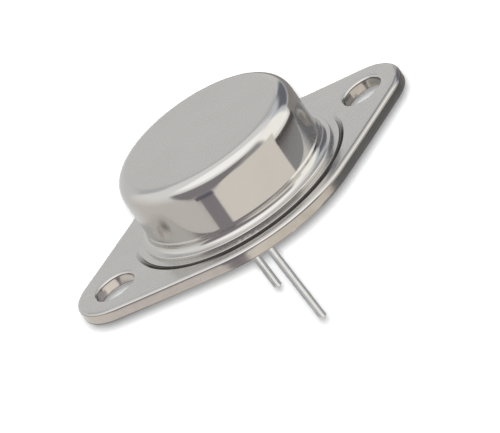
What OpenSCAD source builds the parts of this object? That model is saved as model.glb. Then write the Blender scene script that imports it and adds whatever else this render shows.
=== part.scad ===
// Power transistor in a two-hole metal can, about 38 x 26 x 21 mm.
// Millimetres, +Z up. The origin is the middle of the mounting face, halfway
// between the two mounting holes. +X runs along the line of the holes, the can
// stands on +Z and the two leads point down.

/* [Base plate] */
// Distance between the two mounting holes, centre to centre
hole_spacing = 30.15; // [29.6:0.05:30.6]
// Diameter of each mounting hole
hole_d = 4.1; // [3.8:0.05:4.4]
// Edge break at both mouths of each mounting hole
hole_edge = 0.1; // [0.05:0.05:0.2]
// Thickness of the plate
plate_t = 1.3; // [1.2:0.05:1.8]
// How far the centre of each rounded end lies inside its mounting hole
end_inset = 0.85; // [0.4:0.05:1.2]
// Radius of each rounded end
end_r = 4.95; // [4.5:0.05:5.3]
// Flat margin between the weld groove and the long bulging sides
rim_w = 1.55; // [1.2:0.05:1.8]

/* [Weld seat on the plate] */
// Flat land between the can's flange and the weld groove
land_w = 0.6; // [0.4:0.05:0.8]
// Height of that land above the plate
land_h = 0.06; // [0.03:0.01:0.12]
// Width of the round-bottomed weld groove
groove_w = 0.4; // [0.3:0.05:0.6]

/* [Can] */
// Outer diameter of the can's wall
can_d = 19.2; // [18.6:0.1:20]
// Height of the can's top above the mounting face
can_top_z = 8.45; // [7.8:0.05:9.4]
// Thickness of the drawn sheet
can_sheet = 0.35; // [0.25:0.05:0.45]
// Outside radius of the can's rounded top corner
can_corner_r = 1.5; // [0.8:0.1:2]
// Outside radius where the wall turns into the flange
can_foot_r = 0.7; // [0.4:0.05:0.8]
// Width of the weld flange, from the wall to its edge
flange_w = 0.9; // [0.85:0.05:1.1]
// Rounding of the flange's upper edge
flange_edge_r = 0.12; // [0.05:0.01:0.15]

/* [Leads] */
// Distance between the two leads, centre to centre
lead_spacing = 10.92; // [10.6:0.05:11.2]
// Distance from the line of the leads to the farther mounting hole
lead_to_hole = 16.89; // [16.5:0.05:17.2]
// Diameter of each lead's coated free end
lead_d = 0.81; // [0.7:0.01:1.1]
// Thickness of the solder coat, which the wire inside the glass doesn't have
lead_coat = 0.01; // [0.005:0.005:0.03]
// Bare stretch of each lead between the mounting face and the coat
lead_bare = 0.2; // [0.1:0.05:0.5]
// Length over which the coat thickens to its full size
lead_coat_taper = 0.8; // [0.6:0.1:1.5]
// Reach of the emitter lead below the mounting face
emitter_lead_len = 12.1; // [8:0.1:13]
// Reach of the base lead below the mounting face
base_lead_len = 11.6; // [8:0.1:13]
// Lean of the emitter lead towards +X, in degrees
emitter_lead_lean = 2.8; // [0:0.1:4]
// Lean of the base lead towards +X, in degrees
base_lead_lean = 2.3; // [0:0.1:4]
// Bevel round the cut end of each lead
lead_tip_bevel = 0.1; // [0.05:0.05:0.2]
// Diameter of the flat head that carries the bond wires
lead_head_d = 1.8; // [1.5:0.1:2.2]
// Thickness of that head
lead_head_t = 0.35; // [0.2:0.05:0.5]

/* [Glass seals] */
// Diameter of the glass, and of its hole in the plate
seal_d = 2.8; // [2.4:0.1:3.2]
// How far the glass stays below each face of the plate
seal_recess = 0.1; // [0.05:0.05:0.2]

/* [Chip and heat spreader] */
// Diameter of the copper heat spreader
spreader_d = 9; // [8:0.1:9.2]
// Thickness of the heat spreader
spreader_t = 1; // [0.8:0.05:1.4]
// Distance from the line of the leads to the middle of the spreader
spreader_offset = 3; // [2.9:0.1:3.6]
// Thickness of the braze under the spreader
braze_t = 0.05; // [0.04:0.01:0.1]
// How far the braze stays inside the spreader's edge
braze_inset = 0.1; // [0.05:0.05:0.3]
// Side of the square silicon chip
chip_side = 4.2; // [3.8:0.1:5]
// Thickness of the chip
chip_t = 0.25; // [0.2:0.01:0.4]
// Thickness of the solder under the chip
solder_t = 0.05; // [0.04:0.01:0.1]
// How far the solder shows round the chip
solder_margin = 0.2; // [0.1:0.05:0.4]

/* [Bond wires] */
// Diameter of each aluminium bond wire
wire_d = 0.3; // [0.25:0.01:0.38]
// Length of the flattened foot at each end of a wire
foot_len = 0.7; // [0.6:0.05:0.8]
// Width of the foot
foot_w = 0.42; // [0.4:0.01:0.5]
// Thickness of the foot
foot_t = 0.2; // [0.18:0.01:0.25]
// Half of the arc that a wire's loop spans, in degrees
wire_arc = 62; // [50:1:75]
// Distance between the two emitter wires
emitter_pitch = 0.7; // [0.5:0.05:0.9]
// Distance from the chip's middle to the row of emitter feet
emitter_pad_y = 1.3; // [1:0.1:1.5]
// Distance from the chip's middle to the base foot
base_pad_y = 1.4; // [1:0.1:1.5]

/* [Hidden] */
$fn = 96;
// Overlap of cutting tools past the face that they cut
eps = 0.5;

can_r = can_d / 2;
flange_r = can_r + flange_w;
land_r = flange_r + land_w;
groove_r = groove_w / 2;
groove_mid = land_r + groove_r;
side_r = land_r + groove_w + rim_w;
hole_x = hole_spacing / 2;
end_x = hole_x - end_inset;
// Angle at which the straight edges leave the arcs, measured from the X axis
edge_a = acos((side_r - end_r) / end_x);
land_z = plate_t + land_h;
flange_z = land_z + can_sheet;

lead_x = hole_x - lead_to_hole;
lead_y = lead_spacing / 2;
wire_core_d = lead_d - 2 * lead_coat;
spreader_x = lead_x + spreader_offset;
spreader_z = land_z + braze_t;
solder_z = spreader_z + spreader_t;
chip_z = solder_z + solder_t;
bond_z = chip_z + chip_t;

emitter_post = [lead_x, -lead_y];
emitter_pads = [spreader_x, -emitter_pad_y];
base_post = [lead_x, lead_y];
base_pad = [spreader_x, base_pad_y];

// Outline of the plate: a disc, two round ends and the straight edges that touch them
module plate_outline() {
    far = [end_x + end_r * cos(edge_a), end_r * sin(edge_a)];
    near = [side_r * cos(edge_a), side_r * sin(edge_a)];
    circle(r = side_r);
    for (s = [-1, 1]) translate([s * end_x, 0]) circle(r = end_r);
    polygon([
        [far.x, far.y], [near.x, near.y], [-near.x, near.y], [-far.x, far.y],
        [-far.x, -far.y], [-near.x, -near.y], [near.x, -near.y], [far.x, -far.y]
    ]);
}

// Cutter for one mounting hole, with the edge break at both mouths
module mounting_hole() {
    translate([0, 0, -eps]) cylinder(d = hole_d, h = plate_t + 2 * eps);
    for (mouth = [[0, 0], [1, plate_t]])
        translate([0, 0, mouth[1]]) mirror([0, 0, mouth[0]]) translate([0, 0, -eps])
            cylinder(d1 = hole_d + 2 * (hole_edge + eps), d2 = hole_d, h = hole_edge + eps);
}

module base_plate() {
    color("#b9b6b1") difference() {
        union() {
            linear_extrude(plate_t) plate_outline();
            cylinder(r = land_r, h = land_z);
        }
        rotate_extrude() translate([groove_mid, plate_t]) circle(r = groove_r);
        for (s = [-1, 1]) {
            translate([s * hole_x, 0, 0]) mounting_hole();
            translate([lead_x, s * lead_y, -eps]) cylinder(d = seal_d, h = land_z + 2 * eps);
        }
    }
}

// Half section of the space inside the can
module can_inside() {
    inner_r = can_r - can_sheet;
    foot_r = can_foot_r + can_sheet;
    corner_z = can_top_z - can_corner_r;
    translate([0, land_z - eps]) square([inner_r, corner_z - land_z + eps]);
    square([can_r - can_corner_r, can_top_z - can_sheet]);
    translate([can_r - can_corner_r, corner_z]) circle(r = can_corner_r - can_sheet);
    difference() {
        translate([inner_r, land_z - eps]) square([foot_r, foot_r + eps]);
        translate([can_r + can_foot_r, land_z + foot_r]) circle(r = foot_r);
    }
}

// Half section of the can, as if it were solid
module can_outside() {
    corner_z = can_top_z - can_corner_r;
    translate([0, land_z]) square([can_r, corner_z - land_z]);
    translate([0, land_z]) square([can_r - can_corner_r, can_top_z - land_z]);
    translate([can_r - can_corner_r, corner_z]) circle(r = can_corner_r);
    translate([0, land_z]) square([flange_r, can_sheet - flange_edge_r]);
    translate([0, land_z]) square([flange_r - flange_edge_r, can_sheet]);
    translate([flange_r - flange_edge_r, flange_z - flange_edge_r]) circle(r = flange_edge_r);
    difference() {
        translate([can_r, flange_z]) square(can_foot_r);
        translate([can_r + can_foot_r, flange_z + can_foot_r]) circle(r = can_foot_r);
    }
}

module cap() {
    color("#c3bfb8") rotate_extrude() difference() {
        can_outside();
        can_inside();
    }
}

// Turns its children, drawn along +Z, to run down a lead that leans from the mounting face
module along_lead(post, lean) {
    translate([post.x, post.y, 0]) rotate([0, 180 - lean, 0]) children();
}

// Middle of a lead's head, which the lean carries a little towards -X
function head_at(post, lean) = [post.x - bond_z * tan(lean), post.y];

// One lead: flat head inside the can, and a straight wire through the glass
module lead(post, len, lean) {
    r = lead_d / 2;
    core_r = wire_core_d / 2;
    full_coat = lead_bare + lead_coat_taper;
    tip = len / cos(lean);
    root = -(bond_z - lead_head_t / 2) / cos(lean);
    head = head_at(post, lean);
    color("#d2cfc8") union() {
        translate([head.x, head.y, bond_z - lead_head_t]) cylinder(d = lead_head_d, h = lead_head_t);
        along_lead(post, lean) rotate_extrude() polygon([
            [0, root], [core_r, root], [core_r, lead_bare], [r, full_coat],
            [r, tip - lead_tip_bevel], [r - lead_tip_bevel, tip], [0, tip]
        ]);
    }
}

module emitter_lead() {
    lead(emitter_post, emitter_lead_len, emitter_lead_lean);
}

module base_lead() {
    lead(base_post, base_lead_len, base_lead_lean);
}

// Glass ring that holds one lead in the plate
module seal(post, lean) {
    color("#39474f") difference() {
        translate([post.x, post.y, seal_recess]) cylinder(d = seal_d, h = land_z - 2 * seal_recess);
        along_lead(post, lean) translate([0, 0, -land_z - eps])
            cylinder(d = wire_core_d, h = land_z + 2 * eps);
    }
}

module emitter_seal() {
    seal(emitter_post, emitter_lead_lean);
}

module base_seal() {
    seal(base_post, base_lead_lean);
}

module heat_spreader() {
    color("#b98a63") translate([spreader_x, 0, spreader_z]) cylinder(d = spreader_d, h = spreader_t);
}

module spreader_braze() {
    color("#c9c4b4") translate([spreader_x, 0, land_z])
        cylinder(d = spreader_d - 2 * braze_inset, h = braze_t);
}

module die_solder() {
    side = chip_side + 2 * solder_margin;
    color("#9da0a4") translate([spreader_x - side / 2, -side / 2, solder_z]) cube([side, side, solder_t]);
}

module silicon_die() {
    color("#4a4d57") translate([spreader_x - chip_side / 2, -chip_side / 2, chip_z])
        cube([chip_side, chip_side, chip_t]);
}

// Flattened foot of a wire, lying along X on the bonding level
module wire_foot() {
    half = (foot_len - foot_w) / 2;
    linear_extrude(foot_t) {
        for (s = [-1, 1]) translate([s * half, 0]) circle(d = foot_w);
        translate([-half, -foot_w / 2]) square([2 * half, foot_w]);
    }
}

// One wire looped between two points on the bonding level, moved sideways by shift
module bond_wire(from, to, shift = 0) {
    span = norm(to - from);
    loop_r = span / (2 * sin(wire_arc));
    color("#dcdcdc") translate([from.x, from.y, bond_z])
        rotate([0, 0, atan2(to.y - from.y, to.x - from.x)]) translate([0, shift, 0]) {
            wire_foot();
            translate([span, 0, 0]) wire_foot();
            translate([span / 2, 0, foot_t / 2 - loop_r * cos(wire_arc)])
                rotate([90, 0, 0]) rotate([0, 0, 90 - wire_arc])
                    rotate_extrude(angle = 2 * wire_arc) translate([loop_r, 0]) circle(d = wire_d);
        }
}

module emitter_bond_wire_1() {
    bond_wire(head_at(emitter_post, emitter_lead_lean), emitter_pads, emitter_pitch / 2);
}

module emitter_bond_wire_2() {
    bond_wire(head_at(emitter_post, emitter_lead_lean), emitter_pads, -emitter_pitch / 2);
}

module base_bond_wire() {
    bond_wire(head_at(base_post, base_lead_lean), base_pad);
}

base_plate();
cap();
emitter_lead();
base_lead();
emitter_seal();
base_seal();
heat_spreader();
spreader_braze();
die_solder();
silicon_die();
emitter_bond_wire_1();
emitter_bond_wire_2();
base_bond_wire();
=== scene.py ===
# %% [markdown]
# # A power transistor in a metal can
# The real part is a small sealed tin: a drawn steel can is welded to a thick
# steel flange, a chip sits inside, and two wires leave through beads of glass.
# Everything here is built round the solid model, which comes in as a fixed
# frame: one unit is one metre, +Z points out of the can's top, and the origin
# is the middle of the flange's flat underside.

# %% Load the frame
import math

import bmesh
import bpy
from mathutils import Matrix, Vector


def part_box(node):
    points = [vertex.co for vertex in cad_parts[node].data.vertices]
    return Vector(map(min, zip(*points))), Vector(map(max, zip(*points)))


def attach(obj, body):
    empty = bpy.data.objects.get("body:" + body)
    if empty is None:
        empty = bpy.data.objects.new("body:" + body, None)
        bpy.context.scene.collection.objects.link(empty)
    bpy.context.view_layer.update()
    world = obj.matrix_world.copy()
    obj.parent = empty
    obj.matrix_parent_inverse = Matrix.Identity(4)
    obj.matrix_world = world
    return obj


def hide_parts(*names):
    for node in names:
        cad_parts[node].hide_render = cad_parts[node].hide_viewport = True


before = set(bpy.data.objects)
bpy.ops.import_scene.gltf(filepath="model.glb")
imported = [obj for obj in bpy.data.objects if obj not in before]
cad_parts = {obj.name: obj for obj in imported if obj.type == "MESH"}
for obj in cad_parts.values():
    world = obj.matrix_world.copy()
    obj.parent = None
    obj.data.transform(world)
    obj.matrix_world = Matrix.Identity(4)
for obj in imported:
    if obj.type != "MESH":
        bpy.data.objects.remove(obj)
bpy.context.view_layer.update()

# %% [markdown]
# ## The sizes of the part
# A maker's drawing gives millimetres, so the sizes are written that way and
# turned into metres once, where a point is made. What the solid model can tell
# is measured on it. Only the soft edges of the pressed and drawn metal are
# added here, because a solid model leaves most of those edges nearly sharp.

# %% Sizes
MM = 0.001


def measured(node):
    """Lowest and highest corner of one solid, in millimetres."""
    low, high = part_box(node)
    return low / MM, high / MM


plate_high = measured("base_plate")[1]
can_high = measured("cap")[1]
seal_low, seal_high = measured("emitter_seal")
chip_high = measured("silicon_die")[1]

LAND_H = 0.06                    # the ring under the can stands this much proud
LAND_Z = plate_high.z
PLATE_T = LAND_Z - LAND_H
SIDE_R = plate_high.y            # radius of the long bulging sides
END_R = 4.95                     # rounded ends round the screw holes
END_X = plate_high.x - END_R
EDGE_A = math.degrees(math.acos((SIDE_R - END_R) / END_X))      # where the straight edges begin
HOLE_X = 15.075                  # half of the screw holes' spacing
HOLE_R = 2.05
FLANGE_R = can_high.x            # edge of the can's weld flange
LAND_R = FLANGE_R + 0.72         # edge of the land, where the weld groove starts
GROOVE_W = 0.42                  # width of the groove
CAN_R = 9.6
CAN_TOP = can_high.z
SHEET = 0.35                     # thickness of the can's steel
print("flange", round(2 * plate_high.x, 2), "x", round(2 * SIDE_R, 2), "x", round(PLATE_T, 2), "mm")

# %% [markdown]
# ## Rings and skins
# Pressed and turned parts are easy to build from rings of points: a skin of
# quads joins one ring to the next, so a rounded edge is a few rings that
# follow an arc. Flat faces with holes are filled between their rings. This
# gives a closed mesh whose edges have their real radii, which a bevel on a
# cut-up mesh can't promise.

# %% Mesh helpers
def ring(mesh, points, z):
    """A closed ring of vertices from (x, y) points at one height."""
    return [mesh.verts.new((x * MM, y * MM, z * MM)) for x, y in points]


def skin(mesh, one, other):
    """A band of quads between two rings with as many points."""
    count = len(one)
    for i in range(count):
        j = (i + 1) % count
        mesh.faces.new((one[i], one[j], other[j], other[i]))


def skin_all(mesh, rings):
    for one, other in zip(rings, rings[1:]):
        skin(mesh, one, other)


def fill(mesh, *rings):
    """A flat face inside the first ring and outside the others."""
    edges = []
    for loop in rings:
        for i, vertex in enumerate(loop):
            after = loop[(i + 1) % len(loop)]
            edge = mesh.edges.get((vertex, after)) or mesh.edges.new((vertex, after))
            edges.append(edge)
    bmesh.ops.triangle_fill(mesh, use_beauty=True, use_dissolve=False, edges=edges)


def circle(x, y, radius, count):
    """Points round a circle, from +X towards +Y."""
    turn = 2 * math.pi / count
    return [
        (x + radius * math.cos(i * turn), y + radius * math.sin(i * turn))
        for i in range(count)
    ]


def arc(start, end, steps):
    """Angles from start to end in degrees, both included, given in radians."""
    return [math.radians(start + (end - start) * i / steps) for i in range(steps + 1)]


def rounding(width, depth, steps):
    """(inset, drop) pairs of an elliptical edge, from the upright side to the flat face."""
    return [(width * (1 - math.cos(a)), depth * (1 - math.sin(a))) for a in arc(0, 90, steps)]


print("a round edge in three steps:", [(round(w, 2), round(d, 2)) for w, d in rounding(1, 1, 3)])

# %% [markdown]
# ## From a mesh to a piece
# Smooth shading hides the facets of a round wall, but it would smear light over
# a corner too. So corners sharper than a limit stay sharp, and a weighted normal
# modifier lets the big flat faces decide how the small ones beside them shade.

# %% Piece helpers
SHARP = math.radians(35.0)       # corners that turn more than this stay sharp


def new_object(mesh, name, material):
    """Turns a bmesh into an object of the scene."""
    data = bpy.data.meshes.new(name)
    mesh.to_mesh(data)
    mesh.free()
    data.materials.append(material)
    thing = bpy.data.objects.new(name, data)
    bpy.context.scene.collection.objects.link(thing)
    return thing


def finish_mesh(mesh, name, material):
    """Turns a bmesh into a shaded piece that rides on the part's only body."""
    bmesh.ops.recalc_face_normals(mesh, faces=mesh.faces)
    piece = new_object(mesh, name, material)
    piece.data.shade_smooth()
    piece.data.set_sharp_from_angle(angle=SHARP)
    shading = piece.modifiers.new("even_shading", "WEIGHTED_NORMAL")
    shading.mode = "FACE_AREA"
    shading.weight = 80
    shading.keep_sharp = True
    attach(piece, "root")
    print(name, len(piece.data.polygons), "faces")
    return piece


print("corners over", round(math.degrees(SHARP)), "degrees stay sharp")

# %% [markdown]
# ## Shader nodes in short
# A finish is a small graph of nodes, and most of it repeats: make a node, set
# its numbers, join it up. These helpers keep that to one line each, so that the
# cells below read like a recipe.

# %% Node helpers
def add(tree, kind, place=(0, 0), **settings):
    """A node of that kind with its settings and input values."""
    node = tree.nodes.new(kind)
    node.location = place
    for key, value in settings.items():
        if hasattr(node, key):
            setattr(node, key, value)
        else:
            node.inputs[key.replace("_", " ")].default_value = value
    return node


def new_group(name, inputs, outputs):
    """An empty shader group; an input without a default takes a vector."""
    tree = bpy.data.node_groups.new(name, "ShaderNodeTree")
    for socket, default in inputs.items():
        kind = "NodeSocketVector" if default is None else "NodeSocketFloat"
        made = tree.interface.new_socket(name=socket, in_out="INPUT", socket_type=kind)
        if default is not None:
            made.default_value = default
    for socket in outputs:
        tree.interface.new_socket(name=socket, in_out="OUTPUT", socket_type="NodeSocketFloat")
    return tree, add(tree, "NodeGroupInput", (-900, 0)), add(tree, "NodeGroupOutput", (600, 0))


def math_node(tree, operation, first, second, place=(0, 0)):
    """A Math node whose inputs are sockets or plain numbers."""
    node = add(tree, "ShaderNodeMath", place, operation=operation)
    for index, value in enumerate((first, second)):
        if isinstance(value, (int, float)):
            node.inputs[index].default_value = value
        elif value is not None:
            tree.links.new(value, node.inputs[index])
    return node.outputs[0]


def vector_math(tree, operation, vector, other=None, place=(0, 0)):
    """The outputs of a Vector Math node; the second input is a socket or a plain vector."""
    node = add(tree, "ShaderNodeVectorMath", place, operation=operation)
    tree.links.new(vector, node.inputs[0])
    if isinstance(other, bpy.types.NodeSocket):
        tree.links.new(other, node.inputs[1])
    elif other is not None:
        node.inputs[1].default_value = other
    return node.outputs


def split(tree, vector, place=(0, 0)):
    """The X, Y and Z of a vector."""
    node = add(tree, "ShaderNodeSeparateXYZ", place)
    tree.links.new(vector, node.inputs[0])
    return node.outputs


def use_group(tree, group, vector, place=(0, 0), **values):
    """Places a group and sets its inputs."""
    node = add(tree, "ShaderNodeGroup", place)
    node.node_tree = group
    if vector is not None:
        tree.links.new(vector, node.inputs["Vector"])
    for key, value in values.items():
        node.inputs[key.replace("_", " ")].default_value = value
    return node


def spread(tree, value, low, high, to_low, to_high, place=(0, 0)):
    """Maps a value from one span to another, and stops at its ends."""
    node = add(tree, "ShaderNodeMapRange", place)
    ends = (("From Min", low), ("From Max", high), ("To Min", to_low), ("To Max", to_high))
    for key, number in ends:
        node.inputs[key].default_value = number
    tree.links.new(value, node.inputs["Value"])
    return node.outputs["Result"]


def mix_colour(tree, factor, one, other, place=(0, 0)):
    """Mixes two colours; each is a socket or a plain colour."""
    node = add(tree, "ShaderNodeMix", place, data_type="RGBA")
    tree.links.new(factor, node.inputs[0])
    for index, colour in ((6, one), (7, other)):
        if isinstance(colour, tuple):
            node.inputs[index].default_value = (*colour, 1)
        else:
            tree.links.new(colour, node.inputs[index])
    return node.outputs[2]


def new_material(name):
    """A material with an empty graph, and the socket that takes its shader."""
    material = bpy.data.materials.new(name)
    material.use_nodes = True
    tree = material.node_tree
    tree.nodes.clear()
    return material, tree, add(tree, "ShaderNodeOutputMaterial", (900, 0)).inputs["Surface"]


print("a node is made by", add.__name__, "and a material by", new_material.__name__)

# %% [markdown]
# ## Effects that several finishes share
# Metal never shines evenly. A fine grain is what rolling and plating leave,
# soft patches come from handling, edges rub bright, a groove gets painted shade.
# Each is a node group with its own inputs. A group hands out masks and heights
# only, and each finish decides what they do.

# %% Grain and handling
def make_grain():
    """Fine pits and short lines along one direction: Height and Mask."""
    inputs = {"Vector": None, "Scale": 1.0, "Stretch": 0.3}
    tree, given, put = new_group("plating_grain", inputs, ("Height", "Mask"))
    stretch = add(tree, "ShaderNodeCombineXYZ", (-700, -200), X=1.0, Y=1.0, Z=1.0)
    tree.links.new(given.outputs["Stretch"], stretch.inputs["X"])
    pulled = vector_math(tree, "MULTIPLY", given.outputs["Vector"], stretch.outputs[0], (-520, -80))
    fine = add(tree, "ShaderNodeTexNoise", (-320, 120), Detail=3.0, Roughness=0.6)
    lines = add(tree, "ShaderNodeTexNoise", (-320, -160), Detail=2.0, Roughness=0.5)
    tree.links.new(given.outputs["Vector"], fine.inputs["Vector"])
    tree.links.new(pulled[0], lines.inputs["Vector"])
    for node, size in ((fine, 9000.0), (lines, 3200.0)):
        scale = math_node(tree, "MULTIPLY", given.outputs["Scale"], size, (-520, node.location.y))
        tree.links.new(scale, node.inputs["Scale"])
    soft = math_node(tree, "MULTIPLY", fine.outputs[0], 0.6, (-100, 120))
    both = math_node(tree, "ADD", soft, lines.outputs[0], (80, 40))
    tree.links.new(math_node(tree, "MULTIPLY", both, 0.625, (260, 60)), put.inputs["Height"])
    mask = spread(tree, lines.outputs[0], 0.35, 0.65, 0.0, 1.0, (80, -200))
    tree.links.new(mask, put.inputs["Mask"])
    return tree


def make_handling():
    """Soft patches that hands leave: Mask."""
    tree, given, put = new_group("handling_marks", {"Vector": None, "Scale": 1.0}, ("Mask",))
    patches = add(tree, "ShaderNodeTexNoise", (-320, 160), Detail=4.0, Roughness=0.55, Distortion=0.6)
    tree.links.new(given.outputs["Vector"], patches.inputs["Vector"])
    scale = math_node(tree, "MULTIPLY", given.outputs["Scale"], 210.0, (-520, 160))
    tree.links.new(scale, patches.inputs["Scale"])
    mask = spread(tree, patches.outputs[0], 0.38, 0.66, 0.0, 1.0, (-60, 160))
    tree.links.new(mask, put.inputs["Mask"])
    return tree


GRAIN = make_grain()
HANDLING = make_handling()
print("shader groups:", GRAIN.name, HANDLING.name)

# %% [markdown]
# ## Masks by shape and by place
# Corners rub bright where trays and fingers touch them, and a mask finds them by
# how sharply the surface turns. Shade painted into a groove lies in a ring round
# the axis, so its mask needs no more than two radii.

# %% Rubbed edges and a ring for painted shade
def make_rubbed_edges():
    """Bright worn corners, found by how sharply the surface turns: Mask."""
    tree, given, put = new_group("rubbed_edges", {"Low": 0.52, "High": 0.6}, ("Mask",))
    shape = add(tree, "ShaderNodeNewGeometry", (-500, 0))
    sharp = add(tree, "ShaderNodeMapRange", (-200, 0))
    tree.links.new(shape.outputs["Pointiness"], sharp.inputs["Value"])
    tree.links.new(given.outputs["Low"], sharp.inputs["From Min"])
    tree.links.new(given.outputs["High"], sharp.inputs["From Max"])
    tree.links.new(sharp.outputs["Result"], put.inputs["Mask"])
    return tree


def make_ring_mask():
    """1 between two radii round the part's axis, in metres, with soft limits: Mask."""
    inputs = {"Vector": None, "Inner": 0.01, "Outer": 0.011, "Soft": 0.0001}
    tree, given, put = new_group("ring_mask", inputs, ("Mask",))
    flat = vector_math(tree, "MULTIPLY", given.outputs["Vector"], (1, 1, 0), (-700, 200))
    radius = vector_math(tree, "LENGTH", flat[0], None, (-520, 200))["Value"]
    sides = []
    for limit, first, second in (("Inner", 0, 1), ("Outer", 1, 0)):
        gap = add(tree, "ShaderNodeMath", (-320, 200 - 200 * first), operation="SUBTRACT")
        tree.links.new(radius, gap.inputs[first])
        tree.links.new(given.outputs[limit], gap.inputs[second])
        soft = add(tree, "ShaderNodeMath", (-120, 200 - 200 * first), operation="DIVIDE")
        tree.links.new(gap.outputs[0], soft.inputs[0])
        tree.links.new(given.outputs["Soft"], soft.inputs[1])
        sides.append(spread(tree, soft.outputs[0], -0.5, 0.5, 0.0, 1.0, (60, 200 - 200 * first)))
    tree.links.new(math_node(tree, "MULTIPLY", sides[0], sides[1], (320, 0)), put.inputs["Mask"])
    return tree


RUBBED = make_rubbed_edges()
RING = make_ring_mask()
print("shader groups:", RUBBED.name, RING.name)

# %% [markdown]
# ## The metal finishes
# Almost all the metal one sees is nickel on steel, a nearly neutral grey with a
# touch of warmth. What tells its faces apart is how smooth they are: the flat
# faces are satin, and the drawn wall and the rolled edges are almost mirrors.
# One helper lays out what every finish has, and two more set the bump and tell
# flat faces from upright ones.

# %% Metal helpers
def metal(name):
    """A new metal with its shader and its coordinates in place."""
    material, tree, surface = new_material(name)
    shader = add(tree, "ShaderNodeBsdfPrincipled", (600, 0), Metallic=1.0)
    tree.links.new(shader.outputs[0], surface)
    where = add(tree, "ShaderNodeTexCoord", (-1400, 0))
    return material, tree, shader, where.outputs["Object"]


def set_bump(tree, shader, height, strength, depth_mm, place=(350, -350)):
    """Feeds a height into the shader's normal; depth is the real height in mm."""
    bump = add(tree, "ShaderNodeBump", place, Strength=strength, Distance=depth_mm * MM)
    tree.links.new(height, bump.inputs["Height"])
    tree.links.new(bump.outputs[0], shader.inputs["Normal"])


def facing_up(tree, place=(-1200, 300)):
    """How far a face looks straight up or down: 1 on flat faces, 0 on upright ones."""
    where = add(tree, "ShaderNodeNewGeometry", (place[0] - 400, place[1]))
    parts = split(tree, where.outputs["Normal"], (place[0] - 200, place[1]))
    return math_node(tree, "ABSOLUTE", parts["Z"], None, place)


def ring_mask(tree, vector, inner, outer, soft, place):
    """1 between two radii in mm."""
    mask = use_group(tree, RING, vector, place, Inner=inner * MM, Outer=outer * MM, Soft=soft * MM)
    return mask.outputs["Mask"]


def between(tree, value, rise, fall, strength, place):
    """A mask that rises to a strength over one span of a value and falls off over another."""
    rising = spread(tree, value, *rise, 0.0, strength, (place[0] - 200, place[1] - 50))
    falling = spread(tree, value, *fall, 1.0, 0.0, (place[0] - 200, place[1] + 100))
    return math_node(tree, "MULTIPLY", rising, falling, place)


def towards(azimuth, elevation=0.0):
    """Unit vector; azimuth is measured from +X towards +Y, in degrees."""
    a, e = math.radians(azimuth), math.radians(elevation)
    return Vector((math.cos(a) * math.cos(e), math.sin(a) * math.cos(e), math.sin(e)))


print("azimuth 90 looks along", tuple(round(v) for v in towards(90)))

# %% [markdown]
# ## Nickel on the flange
# The flange is blanked from strip, so its flat faces keep a satin rolling grain
# and its upright sides show the rough, slightly tanned tear of the punch. The
# rolled-over edge between them is burnished smooth by the die. Nickel is one
# grey, so its colours here are those of wear and of painted shade.

# %% Colours of the flange
NICKEL, NICKEL_WORN, NICKEL_RUBBED = (0.62, 0.605, 0.585), (0.50, 0.485, 0.465), (0.68, 0.665, 0.645)
TEAR, TEAR_DARK, TEAR_PALE = (0.57, 0.54, 0.50), (0.49, 0.455, 0.415), (0.69, 0.65, 0.62)
# The next two rows are painted shade: dark tones for the front right side, one end of each screw hole and
# two lines on the rolled edge.
EDGE_SHADE, HOLE_SHADE = (0.29, 0.28, 0.27), (0.19, 0.165, 0.14)
CREASE_SHADE, BRINK_SHADE = (0.20, 0.18, 0.165), (0.22, 0.20, 0.185)
# A near black that stands in for shade in the weld groove.
GROOVE_SHADE = (0.04, 0.035, 0.031)
print("nickel", NICKEL, "and groove dirt", GROOVE_SHADE)

# %% [markdown]
# ## Painted shade in the weld groove
# The groove is painted dark as shade, most on the side where it was pressed
# deepest, and the painted shade spreads onto the flat in front of it. A ring
# mask finds the groove by its two radii. Multiplying it by a fade would only
# make the shade paler towards its ends. Adding the fade first, and keeping what
# comes out over 1, makes it narrower as well.

# %% Painted shade mask
GROOVE_SIDE = 261                # bearing at which the weld tool pressed hardest, and where the groove's painted shade is darkest
SHADE_NONE, SHADE_FULL = -1.2, 5.5         # mm towards that side, where the painted shade starts and is full
FRONT_SHADE_FULL, FRONT_SHADE_NONE = -10.0, -7.8     # the same for painted shade on the flat, along Y


def painted_groove_shade(tree, at, where):
    """1 where shade is painted in and in front of the groove, but not on the underside."""
    groove = ring_mask(tree, at, LAND_R + 0.03, LAND_R + 0.35, 0.10, (-900, -700))
    deep = vector_math(tree, "DOT_PRODUCT", at, towards(GROOVE_SIDE), (-1150, -800))["Value"]
    near = spread(tree, deep, SHADE_NONE * MM, SHADE_FULL * MM, 0.0, 1.0, (-900, -900))
    groove_shade = math_node(tree, "ADD", groove, near, (-800, -800))
    groove_shade = spread(tree, groove_shade, 1.0, 1.6, 0.0, 1.0, (-700, -800))
    front_shade = ring_mask(tree, at, LAND_R + 0.1, LAND_R + 0.76, 0.12, (-900, -850))
    front = spread(tree, where["Y"], FRONT_SHADE_FULL * MM, FRONT_SHADE_NONE * MM, 1.0, 0.0, (-900, -1000))
    front_shade = math_node(tree, "MULTIPLY", front_shade, front, (-700, -950))
    groove_shade = math_node(tree, "MAXIMUM", groove_shade, front_shade, (-550, -850))
    above = spread(tree, where["Z"], 0.5 * PLATE_T * MM, 0.6 * PLATE_T * MM, 0.0, 1.0, (-700, -1050))
    return math_node(tree, "MULTIPLY", groove_shade, above, (-400, -850))


print("groove from", round(LAND_R, 2), "to", round(LAND_R + GROOVE_W, 2), "mm")

# %% [markdown]
# ## The torn sides
# The sides are patchy where the punch tore them and paler towards -X. Shade
# is painted dark along the straight edge at the front right, and into one end
# of each screw hole. Each of these is a mask of where it lies.

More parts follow.
